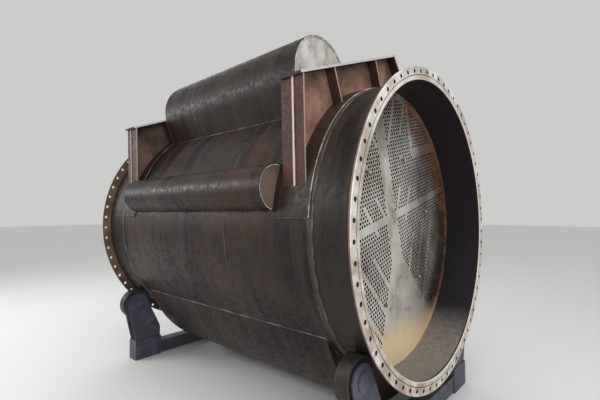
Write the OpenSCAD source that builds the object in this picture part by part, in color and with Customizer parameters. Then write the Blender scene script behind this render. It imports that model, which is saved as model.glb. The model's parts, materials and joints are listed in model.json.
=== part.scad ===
/* [Vessel] */
// Length from end flange face to end flange face
vessel_length = 3520; // [2000:10:6000]
// Bore of the shell and of both end channels
shell_bore = 2400; // [1200:10:3200]
// Plate thickness of the shell
shell_wall = 12; // [8:1:30]
// Height of the vessel axis above the floor
axis_height = 1640; // [1450:5:2400]
// Turn of the vessel about its own axis, saddles towards the left
roll_turn = 22; // [-60:0.5:60]

/* [End flanges] */
// Radial width of the flange ring outside the bore
flange_width = 100; // [70:1:160]
// Flange thickness
flange_thickness = 18; // [14:1:80]
// Number of bolt holes in each flange
bolt_count = 64; // [24:4:96]
// Bolt hole diameter
bolt_hole = 32; // [14:1:40]
// Distance of the bolt circle from the flange rim
bolt_edge = 35; // [24:1:60]
// Width of the seal groove
groove_width = 6; // [4:1:16]
// Depth of the seal groove
groove_depth = 5; // [2:0.5:10]
// Distance of the seal groove from the bore
groove_offset = 33; // [18:1:40]
// Chamfer on the bore edge of the flange
lip_chamfer = 6; // [2:0.5:10]
// Chamfer on the outer edge of a flange
flange_chamfer = 2; // [1:0.5:6]

/* [Tubesheets] */
// Depth of the tubesheet face behind the flange face
sheet_recess = 352; // [150:1:600]
// Tubesheet thickness
sheet_thickness = 40; // [20:1:100]
// Pitch of the drilled tube holes, on a triangular pattern
hole_pitch = 36; // [30:0.5:60]
// Tube hole diameter
tube_hole = 25.4; // [16:0.1:28]
// One tube hole in this many is drilled along each row here
hole_step = 2; // [2:1:4]
// Undrilled rim inside the bore
rim_margin = 62; // [45:1:140]
// Turn of the tube rows against the saddle base plates
field_turn = -7.5; // [-15:0.5:15]
// Sideways offset of the tube field from the axis
field_offset = -95; // [-140:1:140]
// Width of the upright lane
lane_width = 145; // [80:1:260]
// Height of the level lane above the axis
cross_lane_height = 118; // [0:1:300]
// Width of the level lane
cross_lane_width = 70; // [50:1:160]
// Width of the undrilled middle column
core_width = 205; // [120:1:320]
// Depth of the middle column below the axis
core_depth = 265; // [100:1:500]
// Spread of the undrilled lower wedge per mm of depth
wedge_spread = 0.6; // [0.3:0.01:1]
// Sideways position of the air lane from the middle of the field
air_lane_side = 557; // [400:1:800]
// Height of the air lane
air_lane_height = 592; // [300:1:800]
// Width of the air lane
air_lane_width = 64; // [50:1:140]
// Radius of the ring of guide studs
stud_ring = 650; // [400:1:1000]
// Guide stud diameter
stud_diameter = 28; // [16:1:50]
// Guide stud length outside the tubesheet
stud_length = 38; // [20:1:140]
// Number of guide studs on a tubesheet
stud_count = 6; // [3:1:12]
// Length of the bevel at the end of a stud
stud_bevel = 5; // [2:0.5:10]
// Narrowing of a stud over its bevel
stud_taper = 8; // [2:0.5:12]
// Bare plate between a stud and the next tube hole
stud_room = 8; // [4:1:20]

/* [Saddles] */
// Distance of the saddle pad from the flange face
pad_start = 385; // [360:1:600]
// Length of the saddle pad along the vessel
pad_length = 280; // [240:1:500]
// Saddle pad thickness
pad_thickness = 12; // [8:1:20]
// Half angle that the saddle pad wraps
pad_angle = 64; // [58:0.5:80]
// Distance of the saddle base plate from the flange face
base_start = 430; // [420:1:600]
// Width of the saddle base plate along the vessel
base_width = 214; // [160:1:240]
// Half length of the saddle base plate
base_half = 745; // [600:1:900]
// Base plate outer face above the shell surface
base_rise = 246; // [200:1:400]
// Base plate thickness
base_thickness = 18; // [12:1:40]
// Web distance from the base plate edge
web_inset = 88; // [60:1:110]
// Web thickness
web_thickness = 16; // [12:1:36]
// How far the web end stands proud of the outer ribs
web_proud = 8; // [2:1:16]
// Rib thickness
rib_thickness = 14; // [8:1:24]
// Inner rib distance from the middle
inner_rib = 330; // [200:5:450]
// Outer rib distance from the middle at the base plate
outer_rib = 722; // [560:1:730]
// Angle from the middle where the outer ribs meet the pad
outer_rib_angle = 53.5; // [40:0.5:56]
// Width of the landing at each foot of the web
foot_land = 60; // [30:1:120]
// Drop of the web between its landings
foot_dip = 4; // [0:1:10]
// Rib edge distance from the base plate edges
rib_inset = 4; // [2:1:20]

/* [Top dome] */
// Outside radius of the top dome
dome_radius = 364; // [250:1:450]
// Height of the dome centre above the shell surface
dome_rise = 195; // [100:1:300]
// Near end of the dome from the front flange face
dome_start = 800; // [680:1:1200]
// Far end of the dome from the rear flange face
dome_finish = 690; // [680:1:1200]
// Plate thickness of the dome
dome_wall = 10; // [6:1:16]

/* [Side ducts] */
// Outside radius of the side ducts
duct_radius = 178; // [120:1:220]
// Depth of the duct centre below the shell surface
duct_sink = 7; // [0:1:60]
// Angle of the side ducts from the middle of the saddles
duct_angle = 53.5; // [45:0.5:80]
// Near end of the ducts from the front flange face
duct_start = 720; // [680:1:1200]
// Far end of the ducts from the rear flange face
duct_finish = 690; // [680:1:1200]
// Plate thickness of the ducts
duct_wall = 8; // [6:1:14]

/* [Belly] */
// Outside radius of the belly plate
belly_radius = 1153; // [900:1:1200]
// Depth of the belly below the shell surface
belly_depth = 382; // [300:1:420]
// Near end of the belly from the front flange face
belly_start = 455; // [400:1:800]
// Far end of the belly from the rear flange face
belly_finish = 492; // [400:1:800]
// Plate thickness of the belly
belly_wall = 10; // [6:1:16]

/* [End plates] */
// Thickness of the plates that close the dome, ducts and belly
end_plate = 10; // [6:1:16]
// How far the end plates stand inside the skin edges
end_inset = 6; // [0:1:20]

/* [Turning rolls] */
// Wheel radius
wheel_radius = 165; // [120:1:200]
// Wheel width
wheel_width = 100; // [80:1:120]
// Angle of the wheels from straight below the axis
wheel_angle = 45; // [40:0.5:50]
// Distance of the wheels from the flange face
wheel_start = 141; // [130:1:170]
// Running gap between wheel and shell
wheel_gap = 0.3; // [0.2:0.05:0.5]
// Depth of the recess in the wheel faces
wheel_recess = 14; // [6:1:24]
// Width of the wheel rim outside the recess
wheel_rim = 12; // [8:1:30]
// Hub radius as a share of the wheel radius
hub_share = 0.62; // [0.5:0.01:0.75]
// Chamfer on both edges of a tread
tread_chamfer = 3; // [1:0.5:6]
// Axle radius
axle_radius = 45; // [30:1:50]
// Radial clearance of the wheel on its axle
axle_clearance = 0.1; // [0.05:0.01:0.1]
// Side clearance between wheel and cheek plates
cheek_gap = 4; // [2:1:12]
// Cheek plate thickness
cheek_thickness = 14; // [10:1:30]
// Radius of the cheek head round the axle
cheek_head = 120; // [80:1:130]
// Step from the cheek head in to the cheek's outer side
cheek_side = 3; // [0:0.5:10]
// Drop of the outer side's top below the axle
cheek_drop = 10; // [0:1:30]
// Place of the cheek's shoulder as a share of the head radius
cheek_shoulder = 0.4; // [0.2:0.05:0.8]
// Distance of the cheek's foot from the pedestal's ends
cheek_inset = 8; // [2:1:20]
// Radius of the axle end cap
cap_radius = 63; // [50:1:75]
// Thickness of the axle end cap
cap_thickness = 8; // [4:1:24]
// Radius of the pivot boss on the cheek
pivot_radius = 72; // [40:1:90]
// Plate left round the pivot boss
pivot_collar = 24; // [8:1:30]
// Pivot behind the axle as a share of the wheel radius
pivot_back = 1.15; // [1:0.05:1.4]
// Pivot above the pedestal as a share of the wheel radius
pivot_up = 0.6; // [0.5:0.05:0.8]
// Pedestal height
pedestal_height = 230; // [180:1:260]
// Pedestal length across the vessel
pedestal_length = 320; // [300:1:520]
// Share of the pedestal that stands outside the axle
pedestal_outside = 0.08; // [0:0.01:0.3]
// Pedestal width along the vessel
pedestal_width = 160; // [150:1:200]
// Pedestal plate thickness
pedestal_wall = 12; // [8:1:20]
// Side of the square cross beam
beam_side = 140; // [100:1:150]
// Height of the cross beam above the floor
beam_height = 20; // [0:1:40]
// Wall of the cross beam
beam_wall = 8; // [6:1:12]
// Fitting gap at each end of the cross beam
beam_gap = 0.02; // [0.01:0.01:0.05]

/* [Hidden] */
$fn = 240;
hole_fn = 16;
over = 1;

bore_r = shell_bore / 2;
shell_r = bore_r + shell_wall;
flange_r = bore_r + flange_width;
bolt_ring_r = flange_r - bolt_edge;
face_y = -vessel_length / 2;
sheet_y = face_y + sheet_recess;
barrel_y = sheet_y + sheet_thickness;
pad_y = face_y + pad_start;
pad_r = shell_r + pad_thickness;
base_y = face_y + base_start;
base_top = shell_r + base_rise;
base_under = base_top - base_thickness;
web_y = base_y + web_inset;
rib_y = base_y + rib_inset;
rib_end_y = base_y + base_width - rib_inset;
foot_u = pad_r * sin(outer_rib_angle);
foot_w = pad_r * cos(outer_rib_angle);
dome_w = shell_r + dome_rise;
duct_r = shell_r - duct_sink;
belly_w = -(shell_r + belly_depth - belly_radius);
dome_y = face_y + dome_start;
dome_end_y = -face_y - dome_finish;
duct_y = face_y + duct_start;
duct_end_y = -face_y - duct_finish;
belly_y = face_y + belly_start;
belly_end_y = -face_y - belly_finish;
left_reach = max(flange_r, duct_r * sin(duct_angle + roll_turn) + duct_radius);
right_reach = max(flange_r, belly_radius - belly_w * sin(roll_turn));
x_axis = (left_reach - right_reach) / 2;
row_step = hole_pitch * hole_step * sin(60);
field_r = bore_r - rim_margin;
hole_rows = floor(field_r / row_step);
hole_columns = floor((field_r + abs(field_offset)) / (hole_pitch * hole_step)) + 1;
wheel_r = shell_r + wheel_radius + wheel_gap;
wheel_x = wheel_r * sin(wheel_angle);
wheel_z = axis_height - wheel_r * cos(wheel_angle);
wheel_y = face_y + wheel_start;
front_cheek_y = wheel_y - cheek_gap - cheek_thickness;
back_cheek_y = wheel_y + wheel_width + cheek_gap;
pedestal_y = wheel_y + wheel_width / 2 - pedestal_width / 2;
pedestal_out = wheel_x + pedestal_outside * pedestal_length;
pedestal_in = pedestal_out - pedestal_length;
pivot_x = wheel_x - pivot_back * wheel_radius;
pivot_z = pedestal_height + pivot_up * wheel_radius;
pad_wrap = 2 * pad_angle;
stud_spots = [for (i = [0 : stud_count - 1])
  stud_ring * [cos(360 / stud_count * i), sin(360 / stud_count * i)]];

steel = [0.2, 0.18, 0.17];
pale = [0.72, 0.71, 0.68];
primer = [0.44, 0.24, 0.2];
web_tan = [0.6, 0.44, 0.34];
stand_blue = [0.25, 0.27, 0.34];
tread = [0.22, 0.17, 0.15];

module in_vessel() {
  translate([x_axis, 0, axis_height]) rotate([0, -roll_turn, 0]) children();
}

module in_frame() {
  translate([x_axis, 0, 0]) children();
}

module at_rear() {
  mirror([0, 1, 0]) children();
}

module plate(y, thickness) {
  translate([0, y + thickness, 0]) rotate([90, 0, 0]) linear_extrude(thickness) children();
}

module turned_y(y) {
  translate([0, y, 0]) rotate([-90, 0, 0]) rotate_extrude() children();
}

module ring_shape(outer, inner) {
  difference() {
    circle(r = outer);
    circle(r = inner);
  }
}

// End flange with bolt holes, seal groove and chamfered lip
module end_flange() {
  groove = bore_r + groove_offset;
  difference() {
    turned_y(face_y) polygon([
      [bore_r + lip_chamfer, 0],
      [groove, 0],
      [groove, groove_depth],
      [groove + groove_width, groove_depth],
      [groove + groove_width, 0],
      [flange_r - flange_chamfer, 0],
      [flange_r, flange_chamfer],
      [flange_r, flange_thickness],
      [bore_r, flange_thickness],
      [bore_r, lip_chamfer]]);
    for (i = [0 : bolt_count - 1]) {
      rotate([0, (i + 0.5) * 360 / bolt_count, 0])
        translate([0, face_y - over, bolt_ring_r])
          rotate([-90, 0, 0]) cylinder(h = flange_thickness + 2 * over, d = bolt_hole);
    }
  }
}

module end_channel() {
  plate(face_y + flange_thickness, sheet_recess - flange_thickness) ring_shape(shell_r, bore_r);
}

// True where the field is drilled; u runs sideways from its middle and w runs up
function drilled(u, w) =
  norm([u + field_offset, w]) < field_r
  && !(abs(u) < lane_width / 2 && w > cross_lane_height)
  && abs(w - cross_lane_height) > cross_lane_width / 2
  && !(abs(u) < core_width / 2 && w < cross_lane_height)
  && !(w < -core_depth && abs(u) < core_width / 2 - wedge_spread * (w + core_depth))
  && !(abs(u - air_lane_side) < air_lane_width / 2 && w > air_lane_height)
  && !(abs(w - air_lane_height) < air_lane_width / 2 && u > air_lane_side)
  && min([for (spot = stud_spots) norm([u, w] - spot)])
    > stud_diameter / 2 + tube_hole / 2 + stud_room;

module tube_field() {
  for (j = [-hole_rows : hole_rows]) {
    for (i = [-hole_columns : hole_columns]) {
      u = (i + (j % 2 == 0 ? 0 : 0.5)) * hole_pitch * hole_step;
      w = j * row_step;
      if (drilled(u, w)) translate([u, w]) circle(d = tube_hole, $fn = hole_fn);
    }
  }
}

module tubesheet() {
  plate(sheet_y, sheet_thickness) difference() {
    circle(r = shell_r);
    rotate(field_turn) translate([field_offset, 0]) tube_field();
  }
}

module studs() {
  rotate([0, -field_turn, 0]) translate([field_offset, sheet_y, 0]) {
    for (spot = stud_spots) {
      translate([spot[0], 0, spot[1]]) rotate([90, 0, 0]) union() {
        cylinder(h = stud_length - stud_bevel, d = stud_diameter);
        translate([0, 0, stud_length - stud_bevel])
          cylinder(h = stud_bevel, d1 = stud_diameter, d2 = stud_diameter - stud_taper);
      }
    }
  }
}

// Curved pad under one saddle
module saddle_pad() {
  translate([0, pad_y, 0]) rotate([-90, 0, 0])
    rotate_extrude(angle = pad_wrap, start = -90 - pad_angle)
      translate([shell_r, 0]) square([pad_thickness, pad_length]);
}

// Outline between base plate and pad; grow moves the slanted ends outwards
module saddle_outline(grow) {
  difference() {
    polygon([
      [-outer_rib - grow, base_under],
      [-foot_u - grow, foot_w],
      [-foot_u + foot_land, foot_w - foot_dip],
      [0, foot_w],
      [foot_u - foot_land, foot_w - foot_dip],
      [foot_u + grow, foot_w],
      [outer_rib + grow, base_under]]);
    circle(r = pad_r);
  }
}

module saddle_web() {
  plate(web_y, web_thickness) saddle_outline(web_proud);
}

module outer_rib_shape() {
  difference() {
    polygon([
      [outer_rib - rib_thickness, base_under],
      [foot_u - rib_thickness, foot_w],
      [foot_u, foot_w],
      [outer_rib, base_under]]);
    circle(r = pad_r);
  }
}

module inner_rib_shape() {
  difference() {
    translate([inner_rib - rib_thickness / 2, foot_w])
      square([rib_thickness, base_under - foot_w]);
    circle(r = pad_r);
  }
}

module rib_set() {
  for (side = [0, 1]) {
    mirror([side, 0]) {
      outer_rib_shape();
      inner_rib_shape();
    }
  }
}

module saddle_ribs() {
  plate(rib_y, web_y - rib_y) rib_set();
  plate(web_y + web_thickness, rib_end_y - web_y - web_thickness) rib_set();
}

module saddle_base_plate() {
  translate([-base_half, base_y, base_under])
    cube([2 * base_half, base_width, base_thickness]);
}

// Dome section, shrunk by inset on every side
module dome_shape(inset) {
  difference() {
    union() {
      translate([0, dome_w]) circle(r = dome_radius - inset);
      translate([-dome_radius + inset, 0]) square([2 * (dome_radius - inset), dome_w]);
    }
    circle(r = shell_r);
  }
}

module duct_shape(inset) {
  difference() {
    translate([duct_r * sin(duct_angle), duct_r * cos(duct_angle)])
      circle(r = duct_radius - inset);
    circle(r = shell_r);
  }
}

module belly_shape(inset) {
  difference() {
    translate([0, belly_w]) circle(r = belly_radius - inset);
    circle(r = shell_r);
  }
}

module dome_skin_solid() {
  plate(dome_y, dome_end_y - dome_y) difference() {
    dome_shape(0);
    dome_shape(dome_wall);
  }
}

module duct_skin_solid() {
  plate(duct_y, duct_end_y - duct_y) difference() {
    duct_shape(0);
    duct_shape(duct_wall);
  }
}

module belly_skin_solid() {
  plate(belly_y, belly_end_y - belly_y) difference() {
    belly_shape(0);
    belly_shape(belly_wall);
  }
}

module front_end_plate(y) {
  plate(y + end_inset, end_plate) children();
}

module rear_end_plate(y) {
  plate(y - end_inset - end_plate, end_plate) children();
}

// Straight sides of a link between two round ends
module link_shape(x1, z1, r1, x2, z2, r2) {
  reach = norm([x2 - x1, z2 - z1]);
  lean = atan2(z2 - z1, x2 - x1);
  spread = acos((r1 - r2) / reach);
  polygon([
    [x1 + r1 * cos(lean + spread), z1 + r1 * sin(lean + spread)],
    [x2 + r2 * cos(lean + spread), z2 + r2 * sin(lean + spread)],
    [x2 + r2 * cos(lean - spread), z2 + r2 * sin(lean - spread)],
    [x1 + r1 * cos(lean - spread), z1 + r1 * sin(lean - spread)]]);
  translate([x1, z1]) circle(r = r1);
  translate([x2, z2]) circle(r = r2);
}

// Cheek plate of the right-hand bracket, which stands on the pedestal
module cheek_shape() {
  difference() {
    union() {
      link_shape(wheel_x, wheel_z, cheek_head, pivot_x, pivot_z, pivot_radius + pivot_collar);
      polygon([
        [pedestal_in + cheek_inset, pedestal_height],
        [pedestal_in + cheek_inset, pivot_z],
        [wheel_x - cheek_shoulder * cheek_head, wheel_z],
        [wheel_x + cheek_head - cheek_side, wheel_z - cheek_drop],
        [pedestal_out - cheek_inset, pedestal_height]]);
    }
    translate([0, -wheel_r]) square([3 * wheel_r, wheel_r + pedestal_height]);
  }
}

module bracket() {
  union() {
    plate(front_cheek_y, cheek_thickness) cheek_shape();
    plate(back_cheek_y, cheek_thickness) cheek_shape();
    translate([wheel_x, front_cheek_y - cap_thickness, wheel_z]) rotate([-90, 0, 0])
      cylinder(h = cap_thickness, r = cap_radius);
    translate([wheel_x, back_cheek_y + cheek_thickness, wheel_z]) rotate([-90, 0, 0])
      cylinder(h = cap_thickness, r = cap_radius);
    translate([wheel_x, front_cheek_y, wheel_z]) rotate([-90, 0, 0])
      cylinder(h = back_cheek_y + cheek_thickness - front_cheek_y, r = axle_radius);
    translate([pivot_x, front_cheek_y - cap_thickness / 2, pivot_z]) rotate([-90, 0, 0])
      cylinder(h = cap_thickness / 2, r = pivot_radius);
    translate([pivot_x, back_cheek_y + cheek_thickness, pivot_z]) rotate([-90, 0, 0])
      cylinder(h = cap_thickness / 2, r = pivot_radius);
  }
}

module wheel() {
  inner = axle_radius + axle_clearance;
  hub = hub_share * wheel_radius;
  translate([wheel_x, 0, wheel_z]) turned_y(wheel_y) polygon([
    [inner, 0],
    [hub, 0],
    [hub, wheel_recess],
    [wheel_radius - wheel_rim, wheel_recess],
    [wheel_radius - wheel_rim, 0],
    [wheel_radius - tread_chamfer, 0],
    [wheel_radius, tread_chamfer],
    [wheel_radius, wheel_width - tread_chamfer],
    [wheel_radius - tread_chamfer, wheel_width],
    [wheel_radius - wheel_rim, wheel_width],
    [wheel_radius - wheel_rim, wheel_width - wheel_recess],
    [hub, wheel_width - wheel_recess],
    [hub, wheel_width],
    [inner, wheel_width]]);
}

module pedestal() {
  pocket = (pedestal_length - 3 * pedestal_wall) / 2;
  difference() {
    translate([pedestal_in, pedestal_y, 0])
      cube([pedestal_length, pedestal_width, pedestal_height]);
    for (i = [0, 1]) {
      translate([pedestal_in + pedestal_wall + i * (pocket + pedestal_wall),
        pedestal_y + pedestal_wall, -over])
        cube([pocket, pedestal_width - 2 * pedestal_wall, pedestal_height - pedestal_wall + over]);
    }
  }
}

module beam() {
  half = pedestal_in - beam_gap;
  near = wheel_y + wheel_width / 2 - beam_side / 2;
  difference() {
    translate([-half, near, beam_height]) cube([2 * half, beam_side, beam_side]);
    translate([-half - over, near + beam_wall, beam_height + beam_wall])
      cube([2 * (half + over), beam_side - 2 * beam_wall, beam_side - 2 * beam_wall]);
  }
}

module left_side() {
  mirror([1, 0, 0]) children();
}

module front_flange() color(pale) in_vessel() end_flange();
module rear_flange() color(pale) in_vessel() at_rear() end_flange();
module front_channel() color(steel) in_vessel() end_channel();
module rear_channel() color(steel) in_vessel() at_rear() end_channel();
module barrel() color(steel) in_vessel()
  plate(barrel_y, -2 * barrel_y) ring_shape(shell_r, bore_r);
module front_tubesheet() color(pale) in_vessel() tubesheet();
module rear_tubesheet() color(pale) in_vessel() at_rear() tubesheet();
module front_studs() color(pale) in_vessel() studs();
module rear_studs() color(pale) in_vessel() at_rear() studs();
module front_pad() color(steel) in_vessel() saddle_pad();
module rear_pad() color(steel) in_vessel() at_rear() saddle_pad();
module front_web() color(web_tan) in_vessel() saddle_web();
module rear_web() color(web_tan) in_vessel() at_rear() saddle_web();
module front_ribs() color(primer) in_vessel() saddle_ribs();
module rear_ribs() color(primer) in_vessel() at_rear() saddle_ribs();
module front_base_plate() color(steel) in_vessel() saddle_base_plate();
module rear_base_plate() color(steel) in_vessel() at_rear() saddle_base_plate();
module dome_skin() color(steel) in_vessel() dome_skin_solid();
module dome_front_plate() color(pale) in_vessel() front_end_plate(dome_y) dome_shape(dome_wall);
module dome_rear_plate() color(pale) in_vessel() rear_end_plate(dome_end_y) dome_shape(dome_wall);
module left_duct_skin() color(steel) in_vessel() left_side() duct_skin_solid();
module left_duct_front_plate() color(web_tan) in_vessel() left_side()
  front_end_plate(duct_y) duct_shape(duct_wall);
module left_duct_rear_plate() color(web_tan) in_vessel() left_side()
  rear_end_plate(duct_end_y) duct_shape(duct_wall);
module right_duct_skin() color(steel) in_vessel() duct_skin_solid();
module right_duct_front_plate() color(web_tan) in_vessel()
  front_end_plate(duct_y) duct_shape(duct_wall);
module right_duct_rear_plate() color(web_tan) in_vessel()
  rear_end_plate(duct_end_y) duct_shape(duct_wall);
module belly_skin() color(steel) in_vessel() belly_skin_solid();
module belly_front_plate() color(steel) in_vessel() front_end_plate(belly_y) belly_shape(belly_wall);
module belly_rear_plate() color(steel) in_vessel() rear_end_plate(belly_end_y) belly_shape(belly_wall);
module front_beam() color(stand_blue) in_frame() beam();
module rear_beam() color(stand_blue) in_frame() at_rear() beam();
module front_right_pedestal() color(stand_blue) in_frame() pedestal();
module front_left_pedestal() color(stand_blue) in_frame() left_side() pedestal();
module rear_right_pedestal() color(stand_blue) in_frame() at_rear() pedestal();
module rear_left_pedestal() color(stand_blue) in_frame() left_side() at_rear() pedestal();
module front_right_bracket() color(stand_blue) in_frame() bracket();
module front_left_bracket() color(stand_blue) in_frame() left_side() bracket();
module rear_right_bracket() color(stand_blue) in_frame() at_rear() bracket();
module rear_left_bracket() color(stand_blue) in_frame() left_side() at_rear() bracket();
module front_right_wheel() color(tread) in_frame() wheel();
module front_left_wheel() color(tread) in_frame() left_side() wheel();
module rear_right_wheel() color(tread) in_frame() at_rear() wheel();
module rear_left_wheel() color(tread) in_frame() left_side() at_rear() wheel();

front_flange();
rear_flange();
front_channel();
rear_channel();
barrel();
front_tubesheet();
rear_tubesheet();
front_studs();
rear_studs();
front_pad();
front_web();
front_ribs();
front_base_plate();
rear_pad();
rear_web();
rear_ribs();
rear_base_plate();
dome_skin();
dome_front_plate();
dome_rear_plate();
left_duct_skin();
left_duct_front_plate();
left_duct_rear_plate();
right_duct_skin();
right_duct_front_plate();
right_duct_rear_plate();
belly_skin();
belly_front_plate();
belly_rear_plate();
front_beam();
front_left_pedestal();
front_right_pedestal();
front_left_bracket();
front_right_bracket();
front_left_wheel();
front_right_wheel();
rear_beam();
rear_left_pedestal();
rear_right_pedestal();
rear_left_bracket();
rear_right_bracket();
rear_left_wheel();
rear_right_wheel();
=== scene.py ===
"""The finish of an unfinished condenser shell that lies rolled over on turning rolls."""

import json
import math

import bmesh
import bpy
from mathutils import Matrix, Quaternion, Vector


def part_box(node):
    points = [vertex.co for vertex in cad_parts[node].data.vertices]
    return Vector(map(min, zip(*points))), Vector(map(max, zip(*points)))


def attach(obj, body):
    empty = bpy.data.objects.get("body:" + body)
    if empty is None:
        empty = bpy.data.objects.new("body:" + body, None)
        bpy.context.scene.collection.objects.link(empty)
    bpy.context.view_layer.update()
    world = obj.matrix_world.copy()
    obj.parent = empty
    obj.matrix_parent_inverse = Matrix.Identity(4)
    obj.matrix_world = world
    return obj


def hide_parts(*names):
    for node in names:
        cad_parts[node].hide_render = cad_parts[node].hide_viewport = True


bl_info = {
    "name": "Condenser shell on turning rolls",
    "version": (1, 0, 0),
    "blender": (4, 5, 0),
    "location": "3D View > Sidebar > Condenser",
    "description": "Finishes the plates, drills the tubesheets and lays the welds of a condenser shell",
    "category": "Object",
}

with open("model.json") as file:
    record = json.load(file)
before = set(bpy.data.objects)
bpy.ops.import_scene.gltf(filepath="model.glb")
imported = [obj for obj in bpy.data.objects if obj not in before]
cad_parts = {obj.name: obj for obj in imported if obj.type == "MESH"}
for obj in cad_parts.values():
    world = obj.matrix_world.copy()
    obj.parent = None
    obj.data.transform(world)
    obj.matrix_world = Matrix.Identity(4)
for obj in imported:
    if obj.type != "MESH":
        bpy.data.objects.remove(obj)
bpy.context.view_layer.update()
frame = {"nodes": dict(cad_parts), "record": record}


# Places that the frame gives


def mount(name):
    """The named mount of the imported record."""
    return next(m for m in frame["record"]["mounts"] if m["name"] == name)


AXIS = Vector(mount("front_bolts")["pos_m"])
FRONT_Y = AXIS.y
REAR_Y = mount("rear_bolts")["pos_m"][1]
SADDLE_UP = Vector(mount("front_saddle_base")["axis"])
ROLL = math.atan2(-SADDLE_UP.x, SADDLE_UP.z)
SHELL_R = (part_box("barrel")[1].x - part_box("barrel")[0].x) / 2
BARREL_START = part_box("barrel")[0].y
SHEET_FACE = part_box("front_tubesheet")[0].y
PLATE_WALL = 0.012
BORE_R = SHELL_R - PLATE_WALL
WHEELS = ("front_left_wheel", "front_right_wheel", "rear_left_wheel", "rear_right_wheel")
STAND_NODES = [
    f"{end}_{piece}"
    for end in ("front", "rear")
    for piece in ("beam", "left_pedestal", "right_pedestal", "left_bracket", "right_bracket")
]


def in_vessel(u, y, w, turn=ROLL):
    """A point u across and w up from the vessel's axis, turned with the vessel, in the row frame."""
    return Vector((
        AXIS.x + u * math.cos(turn) - w * math.sin(turn),
        y,
        AXIS.z + u * math.sin(turn) + w * math.cos(turn),
    ))


def around(radius, degrees, y, center_w=0.0, center_u=0.0):
    """A point on a circle in the vessel's section, the angle counted from the saddle side to the right."""
    angle = math.radians(degrees)
    return in_vessel(center_u + radius * math.sin(angle), y, center_w + radius * math.cos(angle))


# Sizes and colours that a user would change


def tone(red, green, blue):
    """A colour written as it is seen, in 0 to 255, as linear values."""
    def linear(value):
        value = value / 255
        return value / 12.92 if value <= 0.04045 else ((value + 0.055) / 1.055) ** 2.4
    return (linear(red), linear(green), linear(blue), 1)


def length(name, description, metres):
    """A length that a user would change."""
    return bpy.props.FloatProperty(name=name, description=description, default=metres, unit="LENGTH")


def both_ends(name, description, ends):
    """The front and rear end of a piece, along the vessel from its middle."""
    return bpy.props.FloatVectorProperty(
        name=name, description=description, default=ends, size=2, unit="LENGTH")


def finish_color(name, description, seen):
    """A colour that a user would change, given as it is seen."""
    return bpy.props.FloatVectorProperty(
        name=name, description=description, default=tone(*seen), subtype="COLOR", size=4, min=0, max=1)


class CondenserView(bpy.types.PropertyGroup):
    """Where the camera stands and how the room is lit."""

    lens: bpy.props.FloatProperty(
        name="Lens", description="Focal length on a 36 mm sensor", default=22.1, min=8, max=200)
    from_axis: bpy.props.FloatVectorProperty(
        name="Camera place", description="From the centre of the front flange face",
        default=(-3.0608, -1.1615, 0.1117), subtype="TRANSLATION", unit="LENGTH")
    turn: bpy.props.FloatVectorProperty(
        name="Camera turn", description="Turn of the camera about X, Y and Z",
        default=(math.radians(92.14), 0, math.radians(-48.79)), subtype="EULER", unit="ROTATION")
    backdrop: bpy.props.FloatVectorProperty(
        name="Backdrop", description="Colour of the floor and of the space behind",
        default=(0.8, 0.8, 0.79), subtype="COLOR", min=0, max=1)


class CondenserField(bpy.types.PropertyGroup):
    """The drilled field of the tubesheets."""

    pitch: length("Hole pitch", "Distance between tube holes", 0.036)
    hole: length("Hole diameter", "Diameter of a tube hole", 0.0254)
    steps: bpy.props.IntProperty(
        name="Hole steps", description="Sides of a hole for each side of its tile", default=2, min=1, max=4)
    thickness: length("Thickness", "Tubesheet thickness", 0.040)
    rim: length("Rim", "Bare rim inside the bore", 0.062)
    turn: bpy.props.FloatProperty(
        name="Turn", description="Turn of the rows against the saddles",
        default=math.radians(-7.5), subtype="ANGLE", unit="ROTATION")
    offset: length("Offset", "Sideways offset of the field from the axis", -0.095)
    lane_width: length("Lane width", "Width of the upright lane", 0.145)
    cross_height: length("Level lane height", "Height of the level lane", 0.118)
    cross_width: length("Level lane width", "Width of the level lane", 0.070)
    core_width: length("Core width", "Width of the bare middle column", 0.205)
    core_depth: length("Core depth", "Depth of the bare middle column", 0.265)
    wedge_spread: bpy.props.FloatProperty(
        name="Wedge spread", description="Spread of the bare wedge with its depth", default=0.6)
    air_side: length("Air lane place", "Sideways place of the air lane", 0.557)
    air_height: length("Air lane height", "Height of the air lane", 0.592)
    air_width: length("Air lane width", "Width of the air lane", 0.064)
    stud_ring: length("Stud ring", "Radius of the ring of guide studs", 0.650)
    stud_room: length("Stud room", "Room round each guide stud", 0.036)


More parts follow.
